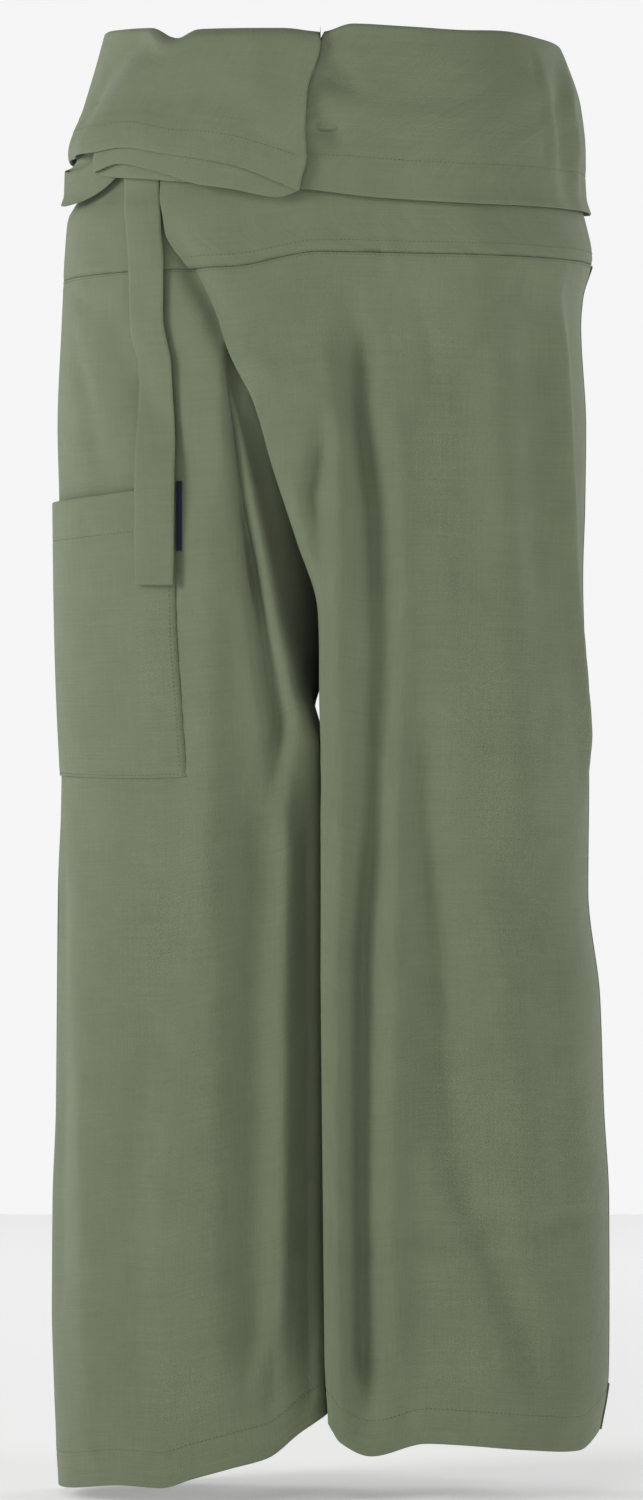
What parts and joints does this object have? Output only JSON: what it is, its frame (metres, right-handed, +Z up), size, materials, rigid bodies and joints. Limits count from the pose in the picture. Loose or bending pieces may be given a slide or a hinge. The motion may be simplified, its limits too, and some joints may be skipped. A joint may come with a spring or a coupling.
{
  "type": "thai fisherman pants",
  "caption": "Wide wrap-front cotton trousers, filled out as when worn, with a turned-down waistband, tied strip and patch pocket",
  "frame": {"origin": "the middle of the wearer's waist at the height of the tie, where the garment is held", "axes": "+Z up towards the waistband, -Y to the front, +X to the wearer's left"},
  "size_m": [0.3685, 0.252, 0.957],
  "materials": {
    "olive_cotton": "matt plain-weave cotton with slubs, olive green",
    "navy_tape": "plain dark navy woven tape"
  },
  "bodies": {
    "root": {"front_leg_right": "olive_cotton", "front_leg_left": "olive_cotton", "back_leg_right": "olive_cotton", "back_leg_left": "olive_cotton", "waistband_front": "olive_cotton", "waistband_back": "olive_cotton", "pocket": "olive_cotton", "side_tab": "navy_tape", "tie_belt": "olive_cotton", "tie_knot": "olive_cotton", "tie_tail": "olive_cotton", "tie_loop": "olive_cotton"}
  },
  "joints": []
}
